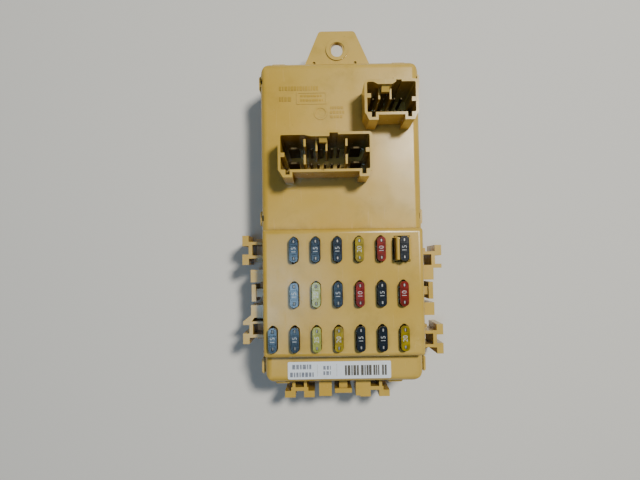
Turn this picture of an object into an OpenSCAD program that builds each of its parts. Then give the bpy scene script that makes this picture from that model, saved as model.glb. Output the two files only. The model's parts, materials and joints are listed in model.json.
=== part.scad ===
// Fuse box panel from inside a car, lying on its back with the fuse face up.
// +X points to the right of the fuse face, +Y to the mounting tab and +Z out of the face.
// A front and a rear housing clip together round two wiring plates, their busbars and terminals.

/* [Housing] */
// Width of the housing across the fuse face
body_w = 73.5; // [73.2:0.1:74.5]
// Length of the housing, without its tab and rails
body_l = 147.2; // [147.2:0.2:149]
// Height of the flat front face above the rims of the rear sockets
face_z = 38; // [38:0.5:40]
// Height of the raised fuse field
field_z = 45.5; // [45.5:0.5:47]
// Height of the line where the two housings meet
split_z = 30; // [30:0.5:31]
// Height of the rear face
floor_z = 8; // [7:0.5:8]
// Thickness of the housing walls
wall = 2; // [1.8:0.1:2]
// Radius of the housing's upright corners
corner_r = 5.8; // [5:0.1:6]
// Radius of its long edges
edge_r = 3; // [2.5:0.1:3.5]

/* [Fuse field] */
// Width of the raised fuse field
field_w = 72; // [71.5:0.5:72]
// Upper edge of the fuse field, from the middle of the housing
field_top_y = -4.3; // [-4.6:0.1:-4]
// Lower edge of the fuse field, from the middle of the housing
field_low_y = -61.3; // [-61.6:0.1:-61]
// Radius of the fuse field's edges
field_r = 2.2; // [1.5:0.1:2.5]
// Distance from one fuse column to the next
col_pitch = 9.67; // [9.64:0.01:9.69]
// Centre of the leftmost fuse column
col_start_x = -31.5; // [-31.55:0.05:-31.4]
// Centre line of the first fuse row
row_1_y = -13.8; // [-14:0.1:-13.6]
// Centre line of the second fuse row
row_2_y = -33.6; // [-33.8:0.1:-33.4]
// Centre line of the third fuse row
row_3_y = -53.1; // [-53.2:0.1:-52.9]

/* [Fuses] */
// Length of a miniature blade fuse
fuse_l = 10.9; // [10.8:0.1:11]
// Thickness of its head
fuse_t = 3.8; // [3.6:0.1:3.8]
// Height from its blade tips to its top
fuse_h = 16.3; // [16.2:0.1:16.4]
// Height of a fuse's top above the fuse field
fuse_proud = 3.5; // [3:0.1:4]
// Extra height of the backup fuse in its holder
backup_lift = 3; // [2.5:0.1:3.5]

/* [Front sockets] */
// Height of the socket rims
rim_z = 56.5; // [55:0.5:58]
// Height of the floors deep inside the sockets
socket_floor_z = 25.5; // [25.5:0.5:28]
// Wall thickness of the socket shrouds
shroud_t = 1.15; // [1:0.05:1.3]
// Centre of the large socket across the panel
large_socket_x = -7.3; // [-7.6:0.1:-7]
// Centre of the large socket along the panel
large_socket_y = 28; // [27.5:0.1:28.5]
// Width of the large socket
large_socket_w = 40.7; // [40.4:0.1:41]
// Depth of the large socket from wall to wall
large_socket_d = 17.2; // [16.9:0.1:17.5]
// Centre of the small socket across the panel
small_socket_x = 21.7; // [21.4:0.1:21.9]
// Centre of the small socket along the panel
small_socket_y = 51.45; // [51.25:0.05:51.6]
// Width of the small socket
small_socket_w = 23.3; // [23:0.1:23.6]
// Depth of the small socket from wall to wall
small_socket_d = 15.5; // [15.2:0.1:15.8]
// Height of the pin tips in both sockets
pin_tip_z = 46; // [42:0.5:48]

/* [Mounting] */
// Width of the slot in the mounting tab
slot_w = 5.5; // [5.2:0.1:5.8]
// Length of that slot
slot_l = 6.9; // [6.8:0.1:7.4]
// Centre of the slot across the tab
slot_x = -0.7; // [-0.9:0.05:-0.5]
// Centre of the slot, from the middle of the housing
slot_y = 82.5; // [82.2:0.1:82.8]
// Thickness of the tab
tab_t = 3; // [2.5:0.1:3.5]
// Far edge of the tab, from the middle of the housing
tab_end_y = 91.6; // [91.2:0.1:92]
// How far the side rails stand out of the housing
rail_out = 10.2; // [10:0.05:10.6]
// How far the rails at the lower end stand out
end_rail_out = 8.5; // [8:0.1:9]

/* [Hidden] */
$fn = 48;
eps = 0.01;
half_w = body_w / 2;
half_l = body_l / 2;
mid_y = (tab_end_y - half_l - end_rail_out) / 2;
field_l = field_top_y - field_low_y;
row_y = [row_1_y, row_2_y, row_3_y];
large_socket = [large_socket_x, large_socket_y, large_socket_w, large_socket_d];
small_socket = [small_socket_x, small_socket_y, small_socket_w, small_socket_d];
fuse_count = 19;
backup = 6;
seat_z = field_z + fuse_proud - fuse_h;

// Plates and metal, from the rear up
lower_plate_z = 17;
plate_t = 1.5;
upper_plate_z = 22;
deck_z = upper_plate_z + plate_t;
strip_t = 0.8;
fork_w = 3.4;
fork_top = 7.2;
blade_y = 3.95;
blade_t = 0.7;
blade_w = 2.8;
blade_l = 7.5;

// Rear sockets: centre, width and depth of each
rear_sockets = [[-12, 48, 37, 15], [12, 16, 35, 15], [0, -33, 45, 18]];
rear_cap_z = 14;
rear_t = 1.4;

// Latches: places along the sides and along the ends
side_latch_y = [65.5, 1.5, -66.5];
end_latch_x = [-28.4, 28.1, -28.2, 23.6];
side_latch_out = 1.1;
end_latch_out = 1.2;
latch_top = split_z + 3;

FUSES = [
  for (r = [0 : 2])
    for (c = [(r == 2 ? 0 : 1) : 6])
      [col_start_x + c * col_pitch, row_y[r]]
];

function two_digits(i) = i < 10 ? str("0", i) : str(i);
function body_name(i) = str("fuse_body_", two_digits(i));
function element_name(i) = str("fuse_element_", two_digits(i));
function row_start(r) = [1, 7, 13][r];
function row_end(r) = [6, 12, 19][r];
function arc(cx, cy, r, a0, a1, n) = [
  for (k = [0 : n]) let (a = a0 + (a1 - a0) * k / n) [cx + r * cos(a), cy + r * sin(a)]
];

// ---- shared shapes ----

// Moves a shape from the middle of the housing to the middle of the whole panel
module placed() {
  translate([0, -mid_y, 0]) children();
}

module rounded_rect(w, l, r) {
  square([w - 2 * r, l], center = true);
  square([w, l - 2 * r], center = true);
  for (sx = [-1, 1], sy = [-1, 1])
    translate([sx * (w / 2 - r), sy * (l / 2 - r)]) circle(r);
}

// Rectangle standing on the X axis with its two upper corners rounded
module arch(w, h, r) {
  translate([-w / 2, 0]) square([w, h - r]);
  translate([-w / 2 + r, 0]) square([w - 2 * r, h]);
  for (s = [-1, 1]) translate([s * (w / 2 - r), h - r]) circle(r);
}

// Block with upright corners of radius rc and upper edges of radius re, from three crossing extrusions
module soft_box(w, l, h, rc, re) {
  intersection() {
    linear_extrude(h) rounded_rect(w, l, rc);
    translate([0, l / 2, 0]) rotate([90, 0, 0]) linear_extrude(l) arch(w, h, re);
    translate([-w / 2, 0, 0]) rotate([90, 0, 90]) linear_extrude(w) arch(l, h, re);
  }
}

// Box given by two opposite corners
module span(a, b) {
  translate(a) cube(b - a);
}

// Octagon-like outline with equal corner chamfers
module cut_corner_rect(w, l, c) {
  polygon([
    [-w / 2, -l / 2 + c], [-w / 2 + c, -l / 2], [w / 2 - c, -l / 2], [w / 2, -l / 2 + c],
    [w / 2, l / 2 - c], [w / 2 - c, l / 2], [-w / 2 + c, l / 2], [-w / 2, l / 2 - c]
  ]);
}

// ---- blade fuses ----

// Distance of a fuse's two test points from its middle
probe_y = 3.75;

// Height of fuse i's blade tips
function tip_z(i) = seat_z + (i == backup ? backup_lift : 0);

module at_fuse(i) {
  translate([FUSES[i - 1][0], FUSES[i - 1][1], tip_z(i)]) children();
}

// Plastic part: a wide head over a narrower skirt, hollow for the element
module fuse_plastic() {
  head_h = 3.4;
  head_r = 1.7;
  skirt_w = 3;
  skirt_l = 9.9;
  skirt_cut = 0.6;
  room = [0.8, 9.3];
  room_top = 15;
  window = [1, 1.4];
  panel = [2.8, 4];
  panel_d = 0.15;
  difference() {
    union() {
      translate([0, 0, fuse_h - head_h]) linear_extrude(head_h) rounded_rect(fuse_t, fuse_l, head_r);
      translate([0, 0, blade_l]) linear_extrude(fuse_h - head_h - blade_l + eps)
        cut_corner_rect(skirt_w, skirt_l, skirt_cut);
    }
    // room for the metal element
    translate([0, 0, blade_l - eps]) linear_extrude(room_top - blade_l) square(room, center = true);
    // two windows through which a test probe reaches the element
    for (s = [-1, 1])
      translate([0, s * probe_y, room_top - 0.5]) linear_extrude(3) square(window, center = true);
    // shallow panel that carries the rating
    translate([0, 0, fuse_h - panel_d]) linear_extrude(1) square(panel, center = true);
  }
}

// Metal part: two blades, their narrow necks and the thin link that melts
module fuse_metal() {
  neck_w = 1.3;
  neck_top = fuse_h - 0.2;
  link_z = 12.4;
  link_h = 0.5;
  loop_w = 1.8;
  loop_h = 0.9;
  tip = 0.5;
  translate([-blade_t / 2, 0, 0]) rotate([90, 0, 90]) linear_extrude(blade_t) {
    for (s = [-1, 1]) {
      translate([s * blade_y, 0]) polygon([
        [-blade_w / 2 + tip, 0], [blade_w / 2 - tip, 0], [blade_w / 2, 2 * tip],
        [blade_w / 2, blade_l], [-blade_w / 2, blade_l], [-blade_w / 2, 2 * tip]
      ]);
      translate([s * probe_y - neck_w / 2, blade_l - eps]) square([neck_w, neck_top - blade_l + eps]);
    }
    translate([-probe_y, link_z]) square([2 * probe_y, link_h]);
    translate([-loop_w / 2, link_z - loop_h]) square([loop_w, loop_h + eps]);
  }
}

module fuse_body(i) {
  tint = [
    "steelblue", "steelblue", "steelblue", "gold", "firebrick", "steelblue",
    "steelblue", "whitesmoke", "steelblue", "firebrick", "steelblue", "firebrick",
    "steelblue", "steelblue", "whitesmoke", "gold", "steelblue", "steelblue", "gold"
  ];
  color(tint[i - 1]) placed() at_fuse(i) fuse_plastic();
}

module fuse_element(i) {
  color("silver") placed() at_fuse(i) fuse_metal();
}

// ---- pull-up holder for the backup fuse ----

holder_x = [23, 29.6];
holder_half_l = 5.5;
holder_low_z = 34;
holder_top_z = field_z + 6;
holder_gap = 0.3;
holder_seat_z = seat_z + backup_lift + blade_l;
holder_floor_t = 1.8;

module backup_fuse_holder() {
  x = FUSES[backup - 1][0];
  y = FUSES[backup - 1][1];
  room = fuse_t / 2 + 0.15;
  blade_slot = [0.6, 1.7];
  wall_half_l = 4.9;
  bevel_w = 0.7;
  past = 10;
  color("wheat") placed() difference() {
    span([holder_x[0], y - holder_half_l, holder_low_z], [holder_x[1], y + holder_half_l, holder_top_z]);
    // room for the fuse, open at both ends
    span([x - room, y - past, holder_seat_z], [x + room, y + past, holder_top_z + 1]);
    // room for the terminals below the floor
    span([x - room, y - past, holder_low_z - 1], [x + room, y + past, holder_seat_z - holder_floor_t]);
    // slots for the blades
    for (s = [-1, 1])
      span(
        [x - blade_slot[0], y + s * blade_y - blade_slot[1], holder_low_z],
        [x + blade_slot[0], y + s * blade_y + blade_slot[1], holder_seat_z + 1]
      );
    // the two side walls are a little shorter above the fuse field
    for (s = [-1, 1])
      translate([0, y + s * (wall_half_l + past / 2), field_z + past / 2])
        cube([past * 6, past, past], center = true);
    // bevel along the outer top edges
    for (edge_x = holder_x) translate([edge_x, y, holder_top_z]) rotate([0, 45, 0])
      cube([bevel_w, 2 * past, bevel_w], center = true);
  }
}

// ---- connector pins ----

// Pin with a chamfered tip, standing on the X-Y plane
module pin(w, t, h) {
  tip = 0.8;
  translate([0, t / 2, 0]) rotate([90, 0, 0]) linear_extrude(t)
    polygon([[-w / 2, 0], [w / 2, 0], [w / 2, h - tip], [w / 4, h], [-w / 4, h], [-w / 2, h - tip]]);
}

pin_h = pin_tip_z - deck_z;
signal_pin = [1.2, 0.64];
power_pin = [4.8, 0.8];
pin_pitch = 3.05;

// Signal pins at the given places along a row
module pin_row(places, y) {
  for (x = places) translate([x, y, 0]) pin(signal_pin[0], signal_pin[1], pin_h);
}

module large_socket_pins() {
  translate([large_socket_x, large_socket_y, deck_z]) {
    for (x = [-14, 14], y = [-2.8, 3.8]) translate([x, y, 0]) pin(power_pin[0], power_pin[1], pin_h);
    pin_row([for (k = [-2 : 2]) k * pin_pitch], -3.6);
    pin_row([-6.1, -1.65, 3.05, 6.1], 3.3);
  }
}

module small_socket_pins() {
  translate([small_socket_x, small_socket_y, deck_z]) {
    pin_row([for (k = [-2 : 3]) k * pin_pitch - 0.4], -3.2);
    pin_row([-7, -2.35, 2.6, 5.65], 2.15);
  }
}

rear_pin_low = 4;
rear_pin_h = lower_plate_z + plate_t - rear_pin_low;

// Two rows of pins that hang from the lower wiring plate into rear socket s
module rear_pins(s, columns, size) {
  socket = rear_sockets[s];
  pitch = (socket[2] - 6) / columns;
  for (k = [0 : columns - 1], sy = [-1, 1])
    translate([
      socket[0] + (k - (columns - 1) / 2) * pitch, socket[1] + sy * socket[3] / 5,
      rear_pin_low + rear_pin_h
    ])
      mirror([0, 0, 1]) pin(size[0], size[1], rear_pin_h);
}

module rear_pins_a() {
  rear_pins(0, 10, signal_pin);
}

module rear_pins_b() {
  rear_pins(1, 9, signal_pin);
}

module rear_pins_c() {
  rear_pins(2, 5, power_pin);
}

module pins_large_socket() {
  color("silver") placed() large_socket_pins();
}

module pins_small_socket() {
  color("silver") placed() small_socket_pins();
}

module pins_rear_socket_a() {
  color("silver") placed() rear_pins_a();
}

module pins_rear_socket_b() {
  color("silver") placed() rear_pins_b();
}

module pins_rear_socket_c() {
  color("silver") placed() rear_pins_c();
}

// ---- fuse terminals ----

// Tuning-fork terminal that grips one fuse blade, standing on the deck
module fork(i, side) {
  x = FUSES[i - 1][0];
  y = FUSES[i - 1][1] + side * blade_y;
  top = i == backup ? holder_seat_z - holder_floor_t - holder_gap : tip_z(i) + fork_top;
  slot_t = blade_t + 0.06;
  tine_cut = 0.5;
  translate([x, y + strip_t / 2, 0]) rotate([90, 0, 0]) linear_extrude(strip_t) difference() {
    polygon([
      [-fork_w / 2, deck_z], [fork_w / 2, deck_z], [fork_w / 2, top - tine_cut],
      [fork_w / 2 - tine_cut, top], [-fork_w / 2 + tine_cut, top], [-fork_w / 2, top - tine_cut]
    ]);
    translate([-slot_t / 2, tip_z(i) - tine_cut]) square([slot_t, 20]);
  }
}

// Strip with one fork for each fuse of row r, on the battery side of the fuses
module supply_comb(r) {
  first = row_start(r);
  last = row_end(r);
  low = FUSES[first - 1][0] - fork_w / 2;
  high = FUSES[last - 1][0] + fork_w / 2;
  strip_w = 1.6;
  y = row_y[r] - blade_y;
  color("peru") placed() {
    for (i = [first : last]) fork(i, -1);
    span([low, y - strip_w, deck_z], [high, y + strip_t / 2, deck_z + strip_t]);
  }
}

// One terminal for each fuse of row r, on the side of the circuit that it guards
module load_terminals(r) {
  foot_l = 2.2;
  color("peru") placed() for (i = [row_start(r) : row_end(r)]) {
    x = FUSES[i - 1][0];
    y = FUSES[i - 1][1] + blade_y;
    fork(i, 1);
    span([x - fork_w / 2, y - strip_t / 2, deck_z], [x + fork_w / 2, y + foot_l, deck_z + strip_t]);
  }
}

// ---- wiring plates and busbars ----

plate_gap = 0.4;
plate_w = body_w - 2 * wall - 2 * plate_gap;
plate_l = body_l - 2 * wall - 2 * plate_gap;
leg_r = 2;
leg_places = [[-30, 62], [30, 62], [-30, 3], [30, 3], [-30, -64], [30, -64]];

module lower_wiring_plate() {
  color("dimgray") placed() difference() {
    translate([0, 0, lower_plate_z]) linear_extrude(plate_t) rounded_rect(plate_w, plate_l, 2);
    rear_pins_a();
    rear_pins_b();
    rear_pins_c();
  }
}

module upper_wiring_plate() {
  color("dimgray") placed() {
    translate([0, 0, upper_plate_z]) linear_extrude(plate_t) rounded_rect(plate_w, plate_l, 2);
    for (p = leg_places)
      translate([p[0], p[1], lower_plate_z + plate_t])
        cylinder(r = leg_r, h = upper_plate_z - lower_plate_z - plate_t + eps);
  }
}

module flat_bar() {
  translate([0, 0, lower_plate_z + plate_t]) linear_extrude(strip_t) children();
}

module busbar_battery() {
  color("peru") placed() flat_bar() {
    translate([-3, -60]) square([6, 112]);
    translate([-24, -40]) square([48, 6]);
    translate([-20, 46]) square([18, 6]);
  }
}

module busbar_ignition() {
  color("peru") placed() flat_bar() {
    translate([-26, -20]) square([5, 60]);
    translate([-26, -20]) square([20, 5]);
  }
}

module busbar_accessory() {
  color("peru") placed() flat_bar() {
    translate([21, -20]) square([5, 60]);
    translate([6, 10]) square([18, 5]);
  }
}

// ---- front housing ----

// Outline of a shroud, or of its inside when inset is the wall's thickness. Two nubs below hold the
// plug's guides. The groove in the upper wall, from groove[0] to groove[1], keeps the wall's thickness.
module shroud_outline(socket, nubs, groove, inset) {
  w = socket[2];
  d = socket[3];
  nub_w = 4.1;
  nub_d = 2.2;
  bulge = 0.8;
  slant = [0.3, 1.1];
  r = inset > 0 ? 0.6 : 1.5;
  grow = shroud_t - inset;
  rounded_rect(w - 2 * inset, d - 2 * inset, r);
  for (x = nubs)
    translate([x - nub_w / 2 + inset, -d / 2 - nub_d + inset]) square([nub_w - 2 * inset, nub_d + 2]);
  translate([groove[0] - grow, 0]) square([groove[1] - groove[0] + 2 * grow, d / 2 + bulge - inset]);
  // outer sides of the nubs slant into the shroud's corners
  if (inset == 0)
    for (x = nubs) {
      low = -d / 2 - nub_d;
      high = -d / 2 + slant[1];
      polygon([
        [x + sign(x) * nub_w / 2, low], [sign(x) * (w / 2 - slant[0]), high], [x, high], [x, low]
      ]);
    }
}

// Keying ribs, lock catch, guide ribs and the thicker rim behind the catch, inside a shroud.
// lock is the catch's place, width and reach; thick is where the thicker rim starts, is full, ends
// and has faded out.
module shroud_keys(socket, keys, lock, guides, thick, pad_t) {
  w = socket[2] / 2 - shroud_t;
  d = socket[3] / 2 - shroud_t;
  key = [1.7, 1.9];
  key_low = socket_floor_z - eps;
  key_top = rim_z - 0.3;
  lock_h = 6;
  lock_straight = 2.6;
  guide_l = 5.8;
  guide_t = 0.8;
  guide_top = 50;
  // keying ribs on the left and right walls
  span([-w - eps, keys[0] - key[1] / 2, key_low], [-w + key[0], keys[0] + key[1] / 2, key_top]);
  span([w - key[0], keys[1] - key[1] / 2, key_low], [w + eps, keys[1] + key[1] / 2, key_top]);
  // thicker stretch of the upper wall
  translate([0, 0, rim_z - lock_h]) linear_extrude(lock_h)
    polygon([[thick[0], d + eps], [thick[1], d - pad_t], [thick[2], d - pad_t], [thick[3], d + eps]]);
  // catch for the plug's locking arm, sloped on its outer side
  translate([lock[0] - lock[1] / 2, 0, 0]) rotate([90, 0, 90]) linear_extrude(lock[1])
    polygon([
      [d + eps, rim_z - lock_h], [d - lock[2], rim_z - lock_h],
      [d - lock[2], rim_z - lock_h + lock_straight], [d + eps, rim_z - 1]
    ]);
  // guide ribs at both sides of the catch
  for (x = guides)
    span([x - guide_t / 2, d - guide_l, key_low], [x + guide_t / 2, d + eps, guide_top]);
}

// Walls and floor of one front socket, which reaches from its rim down to the upper wiring plate
module shroud(socket, nubs, groove) {
  low = deck_z + 0.2;
  translate([socket[0], socket[1], low]) linear_extrude(rim_z - low) shroud_outline(socket, nubs, groove, 0);
}

module shroud_hollow(socket, nubs, groove) {
  translate([socket[0], socket[1], socket_floor_z]) linear_extrude(rim_z)
    shroud_outline(socket, nubs, groove, shroud_t);
}

// Partitions between the chambers of the large socket
module large_socket_partitions() {
  t = 0.9;
  at = [-8.8, 9.3];
  top = rim_z - 2;
  translate([large_socket_x, large_socket_y, 0]) for (x = at) {
    span([x - t / 2, 2.8, socket_floor_z - eps], [x + t / 2, 6, top]);
    span([x - t / 2, -5, socket_floor_z - eps], [x + t / 2, -0.8, top]);
  }
}

large_nubs = [-16.2, 16.7];
small_nubs = [-7.8, 7.8];
large_groove = [2, 5.6];
small_groove = [2.1, 4.5];

module front_shell() {
  narrow = 0.8;
  overlap = 12;
  lip_gap = 0.1;
  lip_t = 1.2;
  lip_h = 4;
  step_h = 2;
  step_in = 0.5;
  inner_r = corner_r - wall;
  end_l = field_low_y + overlap + half_l;
  difference() {
    union() {
      translate([0, (half_l + field_low_y) / 2, split_z])
        soft_box(body_w, half_l - field_low_y, face_z - split_z, corner_r, edge_r);
      // the end with the label is a little narrower
      translate([0, -half_l + end_l / 2, split_z])
        soft_box(body_w - 2 * narrow, end_l, face_z - split_z, corner_r, edge_r);
      translate([0, (field_top_y + field_low_y) / 2, split_z])
        soft_box(field_w, field_l, field_z - split_z, field_r, field_r);
    }
    // hollow under the face and under the fuse field
    translate([0, 0, split_z - 1]) linear_extrude(face_z - wall - split_z + 1)
      rounded_rect(body_w - 2 * wall, body_l - 2 * wall, inner_r);
    span(
      [-field_w / 2 + wall, field_low_y + wall, split_z],
      [field_w / 2 - wall, field_top_y - wall, field_z - wall]
    );
  }
  // lip that enters the rear housing, and the step that ties it to the wall
  difference() {
    union() {
      translate([0, 0, split_z - lip_h]) linear_extrude(lip_h + step_h)
        rounded_rect(body_w - 2 * wall - 2 * lip_gap, body_l - 2 * wall - 2 * lip_gap, inner_r - lip_gap);
      translate([0, 0, split_z]) linear_extrude(step_h)
        rounded_rect(body_w - 2 * wall + 2 * step_in, body_l - 2 * wall + 2 * step_in, inner_r + step_in);
    }
    translate([0, 0, split_z - lip_h - 1]) linear_extrude(lip_h + 2 * step_h)
      rounded_rect(body_w - 2 * wall - 2 * lip_t, body_l - 2 * wall - 2 * lip_t, 1);
  }
}

well_t = 1.3;
well_low_z = 32;
well_room = [0.5, 0.6];
cavity = [fuse_t + well_room[0], fuse_l + well_room[1]];

// Solid tube under the fuse field, one for each fuse
module wells() {
  top = field_z - 1;
  for (i = [1 : fuse_count]) if (i != backup)
    translate([FUSES[i - 1][0], FUSES[i - 1][1], well_low_z]) linear_extrude(top - well_low_z)
      square([cavity[0] + 2 * well_t, cavity[1] + 2 * well_t], center = true);
  y = FUSES[backup - 1][1];
  span([holder_x[0] - 3, y - holder_half_l - well_t - holder_gap, well_low_z],
    [holder_x[1] + 2, y + holder_half_l + 2.2, top]);
}

// Hollow of one well: the fuse's seat with two finger notches, and a chamber for each terminal
module well_hollow(i) {
  seat = seat_z + blade_l - 0.05;
  seat_r = 1.9;
  notch_r = 1.2;
  notch_y = 5;
  notch_d = 3;
  chamber = [4.4, 3.5];
  translate([FUSES[i - 1][0], FUSES[i - 1][1], 0]) {
    translate([0, 0, seat]) linear_extrude(field_z) rounded_rect(cavity[0], cavity[1], seat_r);
    for (s = [-1, 1]) {
      translate([0, s * notch_y, field_z - notch_d]) cylinder(r = notch_r, h = 10);
      translate([0, s * blade_y, well_low_z - 1]) linear_extrude(seat - well_low_z + 2)
        square(chamber, center = true);
    }
  }
}

// Opening for the backup fuse's holder, with a shallow finger recess at its left
module holder_hollow() {
  y = FUSES[backup - 1][1];
  recess = [1.1, 4.9, 4];
  span(
    [holder_x[0] - holder_gap, y - holder_half_l - holder_gap, well_low_z - 1],
    [holder_x[1] + holder_gap, y + holder_half_l + holder_gap, field_z + 1]
  );
  span(
    [holder_x[0] - recess[0], y - recess[1], field_z - recess[2]],
    [holder_x[0], y + recess[1], field_z + 1]
  );
}

hook_half_w = 2.1;

// Wedge under a latch loop, on the right side wall at y = 0
module hook() {
  base = 1;
  reach = 1;
  low = split_z + 0.2;
  bevel_top = split_z + 1.2;
  top = latch_top - 1;
  translate([half_w - base, hook_half_w, 0]) rotate([90, 0, 0]) linear_extrude(2 * hook_half_w)
    polygon([[0, low], [base, low], [base + reach, bevel_top], [base + reach, top], [0, top]]);
}

// Slit in the wall above a hook, on the right side wall at y = 0
module latch_slit() {
  slit = [0.9, 1.3];
  span([half_w - slit[0], -slit[1], latch_top - 0.9], [half_w + 3, slit[1], face_z + 1]);
}

// Puts a shape made for the right side wall at the side latches
module at_side_latches() {
  for (y = side_latch_y, m = [0, 1]) mirror([m, 0, 0]) translate([0, y, 0]) children();
}

// The same for the latches at the two ends
module at_end_latches() {
  for (k = [0 : 3]) {
    turn = k < 2 ? 90 : -90;
    shift = (k < 2 ? 1 : -1) * (half_l - half_w);
    translate([end_latch_x[k], shift, 0]) rotate([0, 0, turn]) children();
  }
}

// Blank moulded marks: a raised frame and a raised ring
module raised_marks() {
  mark_h = 0.3;
  line_w = 0.6;
  frame_at = [-13, 56.9];
  frame_size = [14, 5.8];
  ring_at = [-9, 49.7];
  ring_r = 3;
  translate([0, 0, face_z - eps]) linear_extrude(mark_h + eps) {
    translate(frame_at) difference() {
      square(frame_size, center = true);
      square(frame_size - [2 * line_w, 2 * line_w], center = true);
    }
    translate(ring_at) difference() {
      circle(ring_r);
      circle(ring_r - line_w);
    }
  }
}

// Small nick in the lower rim of the large socket
module rim_nick() {
  nick = [1.2, 0.8, 2];
  left = large_socket_x - 1.2 - nick[0] / 2;
  low = large_socket_y - large_socket_d / 2 + shroud_t - nick[1];
  span([left, low, rim_z - nick[2]], [left + nick[0], low + nick[1] + 1, rim_z + 1]);
}

module front_housing() {
  color("wheat") placed() difference() {
    union() {
      difference() {
        union() {
          front_shell();
          shroud(large_socket, large_nubs, large_groove);
          shroud(small_socket, small_nubs, small_groove);
        }
        shroud_hollow(large_socket, large_nubs, large_groove);
        shroud_hollow(small_socket, small_nubs, small_groove);
      }
      wells();
      translate([large_socket_x, large_socket_y, 0])
        shroud_keys(large_socket, [-1, 0.7], [-0.8, 3.4, 2.65], [-3.7, 0.7], [-9, -6, 1.9, 2], 0.7);
      translate([small_socket_x, small_socket_y, 0])
        shroud_keys(small_socket, [0.7, -1], [-2.25, 3.4, 3.5], [-4.6, 0.4], [-7.75, -5.8, 0.55, 2.1], 1.05);
      large_socket_partitions();
      at_side_latches() hook();
      at_end_latches() hook();
      raised_marks();
    }
    for (i = [1 : fuse_count]) if (i != backup) well_hollow(i);
    holder_hollow();
    rim_nick();
    at_side_latches() latch_slit();
    large_socket_pins();
    small_socket_pins();
  }
}

// ---- rear housing ----

// Latch loop on the right side wall at y = 0: a bowed strap with a window for the hook
module loop(out) {
  strap = min(1, out - 0.1);
  low = 22;
  hollow_low = 26;
  window_half = 2.4;
  length = 7.2;
  band = 0.9;
  difference() {
    translate([half_w, 0, low]) linear_extrude(latch_top - low)
      rounded_rect(2 * out, length, out - 0.05);
    translate([half_w, 0, hollow_low]) linear_extrude(latch_top)
      square([2 * (out - strap), length - 2 * strap], center = true);
    // keep clear of the rear housing's inside and of the front housing
    span([0, -length, low - 1], [half_w - 1, length, latch_top + 1]);
    span([0, -length, split_z], [half_w + 0.1, length, latch_top + 1]);
    // window that the hook snaps into
    span([half_w, -window_half, hollow_low], [half_w + 3, window_half, latch_top - band]);
  }
}

rail_low_z = 10;

// H-shaped guide in plan, on the right side wall at y = 0, trimmed to the band from low to high
module guide_h(out, ribs, low, high) {
  flange_t = 3;
  web_t = 1.7;
  rib_t = 1.4;
  gap = 4;
  flange_w = 4.9;
  translate([half_w, 0, rail_low_z]) {
    linear_extrude(split_z - rail_low_z) intersection() {
      union() {
        translate([out - flange_t - web_t, -gap / 2 - 2]) square([web_t, gap + 4]);
        for (s = [-1, 1]) {
          translate([out - flange_t - eps, s * (gap + flange_w) / 2 - flange_w / 2])
            square([flange_t + eps, flange_w]);
          translate([-0.5, s * ribs - rib_t / 2]) square([out - flange_t - web_t + 1, rib_t]);
        }
      }
      translate([-1, low]) square([out + 2, high - low]);
    }
    // short lugs low on the ribs
    for (s = [-1, 1])
      span([-0.5, s * (ribs + 1.6) - 1, 0], [out - flange_t - web_t - 1, s * (ribs + 1.6) + 1, 10]);
  }
}

// Square block of the guide row
module guide_block(out) {
  span([half_w - 0.5, -2.95, rail_low_z], [half_w + out, 2.95, split_z]);
}

// T-shaped guide in plan
module guide_t(bar_at) {
  span([half_w - 0.5, -1.92, rail_low_z], [half_w + bar_at + 1, 1.92, split_z - 1.5]);
  span([half_w + bar_at, -3.95, rail_low_z], [half_w + bar_at + 2.05, 3.95, split_z]);
}

// Web that ties a block to the H-shaped guide beside it
module guide_gusset(block_y, guide_y) {
  translate([half_w, 0, rail_low_z]) linear_extrude(split_z - rail_low_z)
    polygon([[4, block_y], [6.3, block_y], [rail_out, guide_y], [6, guide_y]]);
}

module side_rails() {
  block_out = 6.35;
  bar_at = 3.9;
  // right side
  translate([0, -18.75, 0]) guide_h(rail_out, 3.2, -3.9, 10);
  translate([0, -55.9, 0]) guide_h(rail_out, 3.2, -10, 10);
  // left side
  mirror([1, 0, 0]) {
    translate([0, -13, 0]) guide_h(rail_out, 3.2, -10, 10);
    translate([0, -50.1, 0]) guide_h(rail_out, 3.2, -10, 3.6);
    guide_gusset(-43.5, -46.5);
  }
  for (m = [0, 1]) mirror([m, 0, 0]) {
    translate([0, -25.2, 0]) guide_block(block_out);
    translate([0, -33.2, 0]) guide_t(bar_at);
    translate([0, -41.8, 0]) guide_block(block_out);
  }
}

// The guides of the lower end, made for the right side wall and turned round
module end_rails() {
  translate([0, -half_l + half_w, 0]) rotate([0, 0, -90]) {
    translate([0, -20.7, 0]) guide_h(end_rail_out, 2.7, -10, 10);
    translate([0, -8.7, 0]) guide_block(end_rail_out - 0.5);
    translate([0, -0.3, 0]) guide_t(4.6);
    translate([0, 8.5, 0]) guide_block(end_rail_out - 0.5);
    translate([0, 14.4, 0]) guide_h(end_rail_out, 2.7, -10, 10);
  }
}

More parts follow.
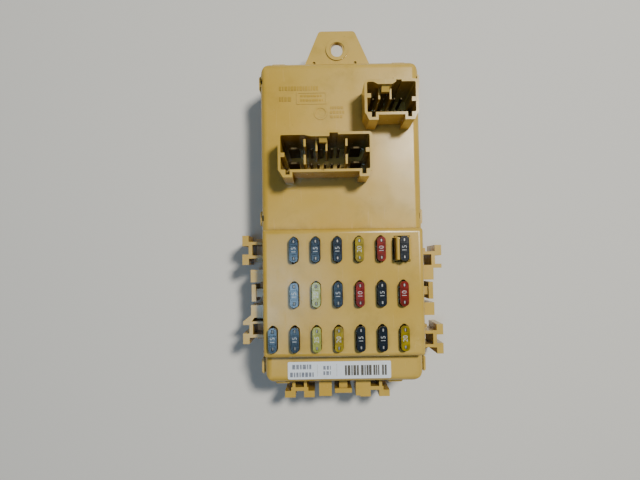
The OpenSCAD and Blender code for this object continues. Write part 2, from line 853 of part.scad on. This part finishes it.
// Mounting tab with a slot inside a raised round boss
module tab() {
  root = [-17.1, 15.8];
  top = [-9.2, 7.8];
  round_r = 2;
  ring_h = 0.8;
  step_d = 0.5;
  ring_r = 5.2;
  inner_r = 3.6;
  dimple_x = [-11.7, 8];
  dimple_y = 2.6;
  dimple_d = 1.2;
  rise = tab_end_y - half_l;
  lean_left = atan((top[0] - root[0]) / rise);
  lean_right = atan((root[1] - top[1]) / rise);
  left_x = top[0] + round_r * (1 - sin(lean_left)) / cos(lean_left);
  right_x = top[1] - round_r * (1 - sin(lean_right)) / cos(lean_right);
  difference() {
    union() {
      translate([0, 0, split_z - tab_t]) linear_extrude(tab_t)
        polygon(concat(
          [[root[0], half_l - 0.5], [root[1], half_l - 0.5]],
          arc(right_x, tab_end_y - round_r, round_r, lean_right, 90, 8),
          arc(left_x, tab_end_y - round_r, round_r, 90, 180 - lean_left, 8)
        ));
      translate([slot_x, slot_y, split_z - eps]) cylinder(r = ring_r, h = ring_h + eps);
    }
    // shallow round step inside the ring
    translate([slot_x, slot_y, split_z + ring_h - step_d]) cylinder(r = inner_r, h = ring_h);
    translate([slot_x, slot_y, split_z - tab_t - 1]) linear_extrude(tab_t + ring_h + 2) slot_outline();
    // dimples left by the mould's ejector pins
    for (x = dimple_x)
      translate([x, half_l + dimple_y, split_z - dimple_d]) cylinder(r = 0.7, h = 2 * dimple_d);
  }
}

module slot_outline() {
  r = slot_w / 2;
  reach = (slot_l - slot_w) / 2;
  square([2 * r, 2 * reach], center = true);
  for (s = [-1, 1]) translate([0, s * reach]) circle(r);
}

post_r = 2.2;
post_places = [[-31, 34], [31, 38], [-31, -8], [31, -8], [-31, -66], [31, -66], [0, 66]];

module rear_housing() {
  color("wheat") placed() difference() {
    union() {
      difference() {
        translate([0, 0, split_z]) mirror([0, 0, 1])
          soft_box(body_w, body_l, split_z - floor_z, corner_r, edge_r);
        translate([0, 0, floor_z + wall]) linear_extrude(split_z)
          rounded_rect(body_w - 2 * wall, body_l - 2 * wall, corner_r - wall);
      }
      // towers of the rear sockets
      for (s = rear_sockets) translate([s[0], s[1], 0]) linear_extrude(rear_cap_z + rear_t)
        rounded_rect(s[2], s[3], 1.5);
      for (p = post_places)
        translate([p[0], p[1], floor_z + 1]) cylinder(r = post_r, h = lower_plate_z - floor_z - 1);
      at_side_latches() loop(side_latch_out);
      at_end_latches() loop(end_latch_out);
      side_rails();
      end_rails();
      tab();
    }
    for (s = rear_sockets) translate([s[0], s[1], -1]) linear_extrude(rear_cap_z + 1)
      rounded_rect(s[2] - 2 * rear_t, s[3] - 2 * rear_t, 0.6);
    rear_pins_a();
    rear_pins_b();
    rear_pins_c();
  }
}

// ---- label ----

module label() {
  color("white") placed() translate([-2.25, -68.2, face_z]) linear_extrude(0.15) rounded_rect(46.8, 7.8, 0.6);
}

// ---- nodes ----

front_housing();
rear_housing();
label();
backup_fuse_holder();
lower_wiring_plate();
upper_wiring_plate();
busbar_battery();
busbar_ignition();
busbar_accessory();
supply_comb(0);  // supply_comb_row_1
supply_comb(1);  // supply_comb_row_2
supply_comb(2);  // supply_comb_row_3
load_terminals(0);  // load_terminals_row_1
load_terminals(1);  // load_terminals_row_2
load_terminals(2);  // load_terminals_row_3
pins_large_socket();
pins_small_socket();
pins_rear_socket_a();
pins_rear_socket_b();
pins_rear_socket_c();
for (i = [1 : fuse_count]) {
  fuse_body(i);
  fuse_element(i);
}
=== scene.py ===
import json
import math
import random

import bmesh
import bpy
from mathutils import Euler, Matrix, Vector


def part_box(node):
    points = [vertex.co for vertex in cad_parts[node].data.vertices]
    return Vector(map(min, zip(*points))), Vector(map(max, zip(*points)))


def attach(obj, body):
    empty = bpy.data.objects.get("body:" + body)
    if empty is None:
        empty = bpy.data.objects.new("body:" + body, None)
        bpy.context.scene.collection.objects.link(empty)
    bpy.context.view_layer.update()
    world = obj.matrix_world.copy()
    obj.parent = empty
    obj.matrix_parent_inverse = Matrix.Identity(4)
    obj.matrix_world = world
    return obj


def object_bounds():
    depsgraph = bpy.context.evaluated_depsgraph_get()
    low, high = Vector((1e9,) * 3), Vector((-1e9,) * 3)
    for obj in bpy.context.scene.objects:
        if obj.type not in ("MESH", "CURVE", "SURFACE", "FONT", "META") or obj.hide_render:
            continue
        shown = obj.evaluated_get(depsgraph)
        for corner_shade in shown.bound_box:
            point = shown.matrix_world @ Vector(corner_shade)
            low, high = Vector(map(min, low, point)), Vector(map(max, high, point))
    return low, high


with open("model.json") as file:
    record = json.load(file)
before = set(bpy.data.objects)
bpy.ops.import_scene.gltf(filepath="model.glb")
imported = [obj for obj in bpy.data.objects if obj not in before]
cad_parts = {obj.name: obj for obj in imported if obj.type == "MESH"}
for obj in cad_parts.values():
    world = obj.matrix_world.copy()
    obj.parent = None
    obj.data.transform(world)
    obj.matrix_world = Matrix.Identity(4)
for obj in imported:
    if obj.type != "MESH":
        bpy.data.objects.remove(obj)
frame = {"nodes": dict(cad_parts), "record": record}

CAD_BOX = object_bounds()

MM = 0.001
PANEL = "panel"
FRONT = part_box("front_housing")
MIDDLE = Vector((0, (FRONT[0].y + FRONT[1].y) / 2, 0))
FACE_Z = 38 * MM
RATINGS = [15, 15, 15, 20, 10, 15, 15, 25, 15, 10, 15, 10, 15, 15, 25, 20, 15, 15, 20]

random.seed(7)


# ---------------------------------------------------------------- camera

def look_down_camera():
    """A camera almost straight above the panel, tilted a little towards the tab and rolled."""
    data = bpy.data.cameras.new("camera")
    data.sensor_width = 36
    data.lens = 31.5
    camera = bpy.data.objects.new("camera", data)
    camera.location = MIDDLE + Vector((-9.4, -20.5, 294.5)) * MM
    camera.rotation_euler = Euler([math.radians(a) for a in (2.556, 0.205, -0.9)], "XYZ")
    bpy.context.scene.collection.objects.link(camera)
    bpy.context.scene.camera = camera


look_down_camera()


# ---------------------------------------------------------------- material helpers

class Nodes:
    """Short names for making a node tree."""

    def __init__(self, name):
        self.material = bpy.data.materials.new(name)
        self.material.use_nodes = True
        self.tree = self.material.node_tree
        self.tree.nodes.clear()
        self.output = self.add("ShaderNodeOutputMaterial")
        self.shader = self.add("ShaderNodeBsdfPrincipled")
        self.link(self.shader.outputs[0], self.output.inputs[0])
        self.place = self.add("ShaderNodeTexCoord").outputs["Object"]

    def add(self, kind, **values):
        node = self.tree.nodes.new(kind)
        for key, value in values.items():
            setattr(node, key, value)
        return node

    def link(self, a, b):
        self.tree.links.new(a, b)

    def put(self, socket, value):
        if isinstance(value, bpy.types.NodeSocket):
            self.link(value, socket)
        elif value is not None:
            socket.default_value = value

    def noise(self, size, detail=3.0, rough=0.5, stretch=(1, 1, 1), distort=0.0, where=None):
        """Noise whose features are about `size` metres across."""
        mapping = self.add("ShaderNodeMapping")
        self.link(where or self.place, mapping.inputs["Vector"])
        mapping.inputs["Scale"].default_value = stretch
        node = self.add("ShaderNodeTexNoise")
        self.link(mapping.outputs[0], node.inputs["Vector"])
        node.inputs["Scale"].default_value = 1 / size
        node.inputs["Detail"].default_value = detail
        node.inputs["Roughness"].default_value = rough
        node.inputs["Distortion"].default_value = distort
        return node.outputs["Fac"]

    def ramp(self, value, low, high, smooth=True):
        """0 below `low`, 1 above `high`."""
        node = self.add("ShaderNodeMapRange", interpolation_type="SMOOTHSTEP" if smooth else "LINEAR")
        self.link(value, node.inputs["Value"])
        node.inputs["From Min"].default_value = low
        node.inputs["From Max"].default_value = high
        return node.outputs["Result"]

    def math(self, operation, a, b=None, clamp=False):
        node = self.add("ShaderNodeMath", operation=operation, use_clamp=clamp)
        self.put(node.inputs[0], a)
        self.put(node.inputs[1], b)
        return node.outputs[0]

    def mix(self, factor, a, b, blend="MIX"):
        node = self.add("ShaderNodeMix", data_type="RGBA", blend_type=blend)
        self.put(node.inputs["Factor"], factor)
        self.put(node.inputs["A"], a)
        self.put(node.inputs["B"], b)
        return node.outputs["Result"]

    def bump(self, height, distance, strength=1.0, normal=None):
        node = self.add("ShaderNodeBump")
        node.inputs["Strength"].default_value = strength
        node.inputs["Distance"].default_value = distance
        self.link(height, node.inputs["Height"])
        if normal is not None:
            self.link(normal, node.inputs["Normal"])
        return node.outputs[0]

    def corners(self, reach):
        """About 1 in the open and less in inner corners, where shade falls and soiling gathers."""
        node = self.add("ShaderNodeAmbientOcclusion", samples=6)
        node.inputs["Distance"].default_value = reach
        return node.outputs["AO"]

    def edges(self, radius):
        """1 along sharp outer edges, 0 on flat faces."""
        soft = self.add("ShaderNodeBevel", samples=4)
        soft.inputs["Radius"].default_value = radius
        sharp = self.add("ShaderNodeNewGeometry")
        dot = self.add("ShaderNodeVectorMath", operation="DOT_PRODUCT")
        self.link(soft.outputs[0], dot.inputs[0])
        self.link(sharp.outputs["Normal"], dot.inputs[1])
        return self.ramp(dot.outputs["Value"], 0.99, 0.8)


def rgb(r, g, b):
    """A colour given as it looks on a screen, 0 to 255."""
    def linear(c):
        c /= 255
        return c / 12.92 if c <= 0.04045 else ((c + 0.055) / 1.055) ** 2.4
    return (linear(r), linear(g), linear(b), 1.0)


# ---------------------------------------------------------------- materials

CREAM = rgb(202, 166, 66)
SHADE = rgb(168, 138, 46)
SUNNED = rgb(210, 178, 90)
MARK_SHADE = rgb(132, 98, 22)
GRIME_AND_SHADE = rgb(74, 58, 20)
DEEP_SHADE = rgb(116, 88, 22)


def moulded_plastic(name, tone, dark, pale, grime_and_shade):
    """Aged cream plastic: soft yellowing, patchy soiling with painted shade in tight corners, painted shade
    deep inside hollows, and a fine grain.
    """
    m = Nodes(name)
    broad = m.ramp(m.noise(0.055, 2.0, 0.5), 0.35, 0.68)
    blotch = m.ramp(m.noise(0.014, 4.0, 0.6, distort=0.4), 0.48, 0.75)
    speck = m.ramp(m.noise(0.0009, 2.0, 0.6), 0.66, 0.78)
    colour = m.mix(broad, tone, pale)
    colour = m.mix(m.math("MULTIPLY", blotch, 0.35), colour, dark)
    colour = m.mix(m.math("MULTIPLY", speck, 0.25), colour, grime_and_shade)
    # painted shade with soiling: tight inner corners (ambient occlusion within 3 mm) are pulled in patches
    # toward the dark soiling colour, standing in for shade as well as soiling
    corner_shade = m.math("SUBTRACT", 1.0, m.ramp(m.corners(0.003), 0.35, 0.95))
    dirt_and_shade = m.math("MULTIPLY", corner_shade, m.ramp(m.noise(0.006, 4.0, 0.6), 0.3, 0.7))
    colour = m.mix(m.math("MULTIPLY", dirt_and_shade, 0.55), colour, grime_and_shade)
    # painted shade: surfaces deep inside hollows (ambient occlusion within 22 mm) are pulled toward an
    # amber-brown, standing in for the shade inside deep sockets
    deep = m.math("SUBTRACT", 1.0, m.ramp(m.corners(0.022), 0.04, 0.42))
    colour = m.mix(m.math("MULTIPLY", deep, 0.35), colour, DEEP_SHADE)
    worn = m.math("MULTIPLY", m.edges(0.0005), m.ramp(m.noise(0.004, 3.0, 0.6), 0.35, 0.65))
    colour = m.mix(m.math("MULTIPLY", worn, 0.5), colour, pale)
    m.link(colour, m.shader.inputs["Base Color"])
    scratch = m.ramp(m.noise(0.0012, 2.0, 0.5, stretch=(1, 0.06, 1), distort=0.3), 0.66, 0.72)
    rough = m.math("ADD", 0.16, m.math("MULTIPLY", m.noise(0.008, 3.0), 0.16))
    rough = m.math("ADD", rough, m.math("MULTIPLY", scratch, 0.05), clamp=True)
    m.link(rough, m.shader.inputs["Roughness"])
    grain = m.bump(m.noise(0.00035, 2.0, 0.6), 0.00002, 0.5)
    sink = m.bump(m.noise(0.02, 1.0), 0.0004, 0.35, grain)
    m.link(m.bump(scratch, 0.00001, 0.3, sink), m.shader.inputs["Normal"])
    m.shader.inputs["Specular IOR Level"].default_value = 0.36
    m.shader.inputs["Subsurface Weight"].default_value = 0.08
    m.shader.inputs["Subsurface Radius"].default_value = (0.002, 0.0014, 0.0008)
    return m.material


def fuse_plastic(name, colour, deep, pale, clear):
    """Coloured glossy plastic with a fine moulded surface and rubbed edges; `clear` lets light in."""
    m = Nodes(name)
    tone = m.mix(m.ramp(m.noise(0.002, 2.0), 0.3, 0.7), colour, deep)
    worn = m.math("MULTIPLY", m.edges(0.0002), 0.25)
    m.link(m.mix(worn, tone, pale), m.shader.inputs["Base Color"])
    m.link(m.math("ADD", 0.12, m.math("MULTIPLY", m.noise(0.0008, 3.0), 0.14)), m.shader.inputs["Roughness"])
    m.link(m.bump(m.noise(0.0004, 2.0), 0.00002, 0.4), m.shader.inputs["Normal"])
    m.shader.inputs["Transmission Weight"].default_value = clear
    m.shader.inputs["IOR"].default_value = 1.55
    return m.material


def metal(name, colour, dull, rough):
    """Stamped sheet metal with a brushed grain and dull patches."""
    m = Nodes(name)
    patch = m.ramp(m.noise(0.002, 4.0, 0.6), 0.4, 0.7)
    m.link(m.mix(m.math("MULTIPLY", patch, 0.6), colour, dull), m.shader.inputs["Base Color"])
    grain = m.noise(0.0004, 2.0, 0.5, stretch=(1, 1, 0.08))
    m.link(m.math("ADD", rough, m.math("MULTIPLY", grain, 0.2)), m.shader.inputs["Roughness"])
    m.link(m.bump(grain, 0.00002, 0.4), m.shader.inputs["Normal"])
    m.shader.inputs["Metallic"].default_value = 1.0
    return m.material


def plate_plastic():
    """Dark glass-filled plastic of the wiring plates."""
    m = Nodes("plate_plastic")
    mottle = m.noise(0.003, 5.0, 0.7)
    m.link(m.mix(m.ramp(mottle, 0.35, 0.7), rgb(38, 36, 34), rgb(60, 57, 52)), m.shader.inputs["Base Color"])
    m.link(m.math("ADD", 0.5, m.math("MULTIPLY", mottle, 0.2)), m.shader.inputs["Roughness"])
    m.link(m.bump(m.noise(0.0005, 3.0), 0.00003, 0.5), m.shader.inputs["Normal"])
    return m.material


def label_film():
    """White printed film, a little yellowed and scuffed."""
    m = Nodes("label_film")
    scuff = m.ramp(m.noise(0.003, 5.0, 0.65), 0.5, 0.75)
    tone = m.mix(m.math("MULTIPLY", scuff, 0.5), rgb(232, 240, 250), rgb(212, 216, 216))
    m.link(tone, m.shader.inputs["Base Color"])
    m.link(m.math("ADD", 0.3, m.math("MULTIPLY", scuff, 0.3)), m.shader.inputs["Roughness"])
    m.link(m.bump(m.noise(0.004, 3.0), 0.0001, 0.3), m.shader.inputs["Normal"])
    return m.material


def ink(name, colour, faded):
    """Printing ink, thin in places."""
    m = Nodes(name)
    thin = m.ramp(m.noise(0.0006, 3.0, 0.6), 0.35, 0.75)
    m.link(m.mix(thin, colour, faded), m.shader.inputs["Base Color"])
    m.link(m.math("ADD", 0.45, m.math("MULTIPLY", thin, 0.2)), m.shader.inputs["Roughness"])
    return m.material


MATERIALS = {
    "housing_plastic": moulded_plastic("housing_plastic", CREAM, SHADE, SUNNED, GRIME_AND_SHADE),
    "holder_plastic": moulded_plastic("holder_plastic", CREAM, SHADE, SUNNED, GRIME_AND_SHADE),
    "plate_plastic": plate_plastic(),
    "terminal_metal": metal("terminal_metal", rgb(206, 170, 104), rgb(140, 106, 62), 0.3),
    "pin_metal": metal("pin_metal", rgb(88, 78, 56), rgb(50, 42, 28), 0.5),
    "element_metal": metal("element_metal", rgb(150, 150, 150), rgb(104, 102, 98), 0.4),
    "label_film": label_film(),
    "fuse_blue": fuse_plastic("fuse_blue", rgb(16, 30, 44), rgb(8, 16, 24), rgb(90, 112, 134), 0.0),
    "fuse_red": fuse_plastic("fuse_red", rgb(140, 22, 4), rgb(100, 14, 2), rgb(176, 66, 44), 0.0),
    "fuse_yellow": fuse_plastic("fuse_yellow", rgb(162, 142, 0), rgb(124, 108, 0), rgb(206, 180, 70), 0.0),
    "fuse_clear": fuse_plastic("fuse_clear", rgb(188, 194, 84), rgb(154, 158, 52), rgb(220, 216, 160), 0.2),
}
WHITE_INK = ink("rating_ink", rgb(216, 220, 222), rgb(168, 172, 178))
DARK_INK = ink("print_ink", rgb(112, 118, 134), rgb(156, 162, 176))
BAR_INK = ink("bar_ink", rgb(66, 62, 54), rgb(108, 102, 92))
PALE_INK = ink("rule_ink", rgb(168, 170, 174), rgb(196, 196, 196))


# ---------------------------------------------------------------- the CAD nodes' finish

def finish_cad_nodes():
    """Gives every CAD node its slot's material, and rounds its sharp edges a little."""
    edge = {"housing_plastic": 0.22, "holder_plastic": 0.15, "pin_metal": 0.06, "label_film": 0.02}
    for part in frame["record"]["subparts"]:
        thing = frame["nodes"][part["node"]]
        slot = part["material_slot"]
        thing.data.materials.clear()
        thing.data.materials.append(MATERIALS[slot])
        weld = thing.modifiers.new("weld", "WELD")
        weld.merge_threshold = 0.01 * MM
        bevel = thing.modifiers.new("bevel", "BEVEL")
        bevel.width = edge.get(slot, 0.12) * MM
        bevel.segments = 2
        bevel.limit_method = "ANGLE"
        bevel.angle_limit = math.radians(40)
        bevel.harden_normals = False


finish_cad_nodes()


# ---------------------------------------------------------------- small pieces

def solid(name, mesh, material, body):
    """Links a mesh as a piece of the object that rides on a body."""
    piece = bpy.data.objects.new(name, mesh)
    bpy.context.scene.collection.objects.link(piece)
    piece.data.materials.append(material)
    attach(piece, body)
    return piece


def add_bar(bm, centre, size, height):
    """A thin block on a surface: centre of its foot, its two sides and its height."""
    made = bmesh.ops.create_cube(bm, size=1.0)
    bmesh.ops.scale(bm, vec=(size[0], size[1], height), verts=made["verts"])
    bmesh.ops.translate(bm, vec=centre + Vector((0, 0, height / 2)), verts=made["verts"])


def numeral_mesh(text, size, depth):
    """The outline of a number as a thin solid, centred on the origin."""
    curve = bpy.data.curves.new("numeral", "FONT")
    curve.body = text
    curve.align_x = "CENTER"
    curve.align_y = "CENTER"
    curve.size = size
    curve.extrude = depth / 2
    curve.offset = -0.012 * size
    carrier = bpy.data.objects.new("numeral", curve)
    bpy.context.scene.collection.objects.link(carrier)
    bpy.context.view_layer.update()
    mesh = bpy.data.meshes.new_from_object(carrier.evaluated_get(bpy.context.evaluated_depsgraph_get()))
    bpy.data.objects.remove(carrier)
    bpy.data.curves.remove(curve)
    return mesh


NUMBER_SIZE = 2.9 * MM
NUMBER_DEPTH = 0.1 * MM


def rating_numbers():
    """The amp rating printed on each fuse's head, read along the fuse."""
    for i, rating in enumerate(RATINGS, start=1):
        low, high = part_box(f"fuse_body_{i:02d}")
        mesh = numeral_mesh(str(rating), NUMBER_SIZE, NUMBER_DEPTH)
        turn = Matrix.Rotation(math.radians(90), 4, "Z")
        centre = Vector(((low.x + high.x) / 2, (low.y + high.y) / 2, high.z - NUMBER_DEPTH))
        mesh.transform(Matrix.Translation(centre) @ turn)
        solid(f"rating_{i:02d}", mesh, WHITE_INK, f"fuse_{i:02d}")


rating_numbers()


SINK = 0.02 * MM
MARK_RISE = 0.26
PRINT_RISE = 0.04


def strokes(bm, left, right, y, height, gap, z, rise):
    """A row of short blank strokes of uneven width, from left to right."""
    x = left
    while x < right - 0.3:
        width = min(random.uniform(0.5, 1.5), right - x)
        add_bar(bm, Vector((x + width / 2, y, z / MM)) * MM, (width * MM, height * MM), rise * MM)
        x += width + gap


def raised_dashes():
    """Blank moulded dashes on the front face, in rows."""
    bm = bmesh.new()
    y0 = MIDDLE.y / MM
    z = FACE_Z - SINK
    rows = [
        (-28.0, -10.0, 61.5, 1.9, 0.55), (-28.0, -22.5, 56.5, 2.1, 0.5),
        (-18.2, -7.8, 57.9, 0.9, 0.5), (-18.2, -7.8, 55.9, 0.9, 0.5),
        (-4.5, 2.0, 52.2, 1.2, 0.5), (-4.5, 2.0, 50.1, 1.2, 0.5), (-4.5, 1.0, 48.0, 1.2, 0.5),
    ]
    for left, right, y, height, gap in rows:
        strokes(bm, left, right, y + y0, height, gap, z, MARK_RISE)
    mesh = bpy.data.meshes.new("moulded_dashes")
    bm.to_mesh(mesh)
    # painted shadow: the raised dashes take a darker tone than the housing, standing in for the small
    # shadows they cast
    marks = moulded_plastic("moulded_marks_painted_shade", SHADE, MARK_SHADE, CREAM, GRIME_AND_SHADE)
    solid("moulded_dashes", mesh, marks, PANEL)


def label_print():
    """Blank print on the label: two rows of strokes, thin rules and a group of bars."""
    low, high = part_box("label")
    mid = (low + high) / 2 / MM
    z = high.z - SINK / 2
    dark = bmesh.new()
    for left, right, y in [(-21.4, -12.6, 1.6), (-22.4, -11.7, -1.9)]:
        strokes(dark, mid.x + left, mid.x + right, mid.y + y, 2.1, 0.45, z, PRINT_RISE)
    for y in [-1.3, 1.1]:
        strokes(dark, mid.x - 7.3, mid.x - 3.9, mid.y + y, 1.7, 0.5, z, PRINT_RISE)
    pale = bmesh.new()
    bars = bmesh.new()
    for x in [-10.0, -1.2]:
        add_bar(pale, Vector((mid.x + x, mid.y, z / MM)) * MM, (0.15 * MM, 5.4 * MM), PRINT_RISE * MM)
    groups = [(2.5, 4.6), (5.4, 9.2), (9.8, 13.1), (13.4, 14.7), (15.4, 18.3), (19.3, 21.2)]
    for left, right in groups:
        x = left
        while x < right - 0.2:
            width = random.choice([0.6, 0.9, 1.2])
            place = Vector((mid.x + x + width / 2, mid.y - 0.17, z / MM)) * MM
            add_bar(bars, place, (width * MM, 4.6 * MM), PRINT_RISE * MM)
            x += width + random.choice([0.25, 0.35])
    made = [("label_print", dark, DARK_INK), ("label_rules", pale, PALE_INK), ("label_bars", bars, BAR_INK)]
    for name, bm, material in made:
        mesh = bpy.data.meshes.new(name)
        bm.to_mesh(mesh)
        solid(name, mesh, material, PANEL)


raised_dashes()
label_print()


# ---------------------------------------------------------------- stage

FLOOR_HALF = 3.0


def studio():
    """A pale paper floor under the panel, in dim even light."""
    floor_mesh = bpy.data.meshes.new("floor")
    bm = bmesh.new()
    bmesh.ops.create_grid(bm, x_segments=1, y_segments=1, size=FLOOR_HALF)
    bm.to_mesh(floor_mesh)
    floor = bpy.data.objects.new("floor", floor_mesh)
    floor.location.z = CAD_BOX[0].z
    bpy.context.scene.collection.objects.link(floor)
    m = Nodes("floor_paper")
    tone = m.mix(m.noise(0.3, 2.0), rgb(226, 226, 224), rgb(234, 233, 230))
    m.link(tone, m.shader.inputs["Base Color"])
    m.shader.inputs["Roughness"].default_value = 0.8
    floor_mesh.materials.append(m.material)

    world = bpy.data.worlds.new("world")
    bpy.context.scene.world = world
    world.use_nodes = True
    world.node_tree.nodes["Background"].inputs["Color"].default_value = (1.0, 0.98, 0.94, 1)
    world.node_tree.nodes["Background"].inputs["Strength"].default_value = 0.10


def area_light(name, place, target, size, power, colour):
    """A rectangular light at `place`, turned to `target`."""
    data = bpy.data.lights.new(name, "AREA")
    data.shape = "RECTANGLE"
    data.size, data.size_y = size
    data.energy = power
    data.color = colour
    lamp = bpy.data.objects.new(name, data)
    lamp.location = place
    aim = Vector(target) - Vector(place)
    lamp.rotation_euler = aim.to_track_quat("-Z", "Y").to_euler()
    bpy.context.scene.collection.objects.link(lamp)


studio()
area_light("key", (0.27, 0.23, 0.93), (0, 0, 0.03), (0.12, 0.12), 8.4, (1.0, 0.95, 0.84))
area_light("sheen", (-0.085, -0.075, 0.70), (-0.03, -0.03, 0.04), (0.08, 0.14), 0.65, (0.42, 0.70, 1.0))
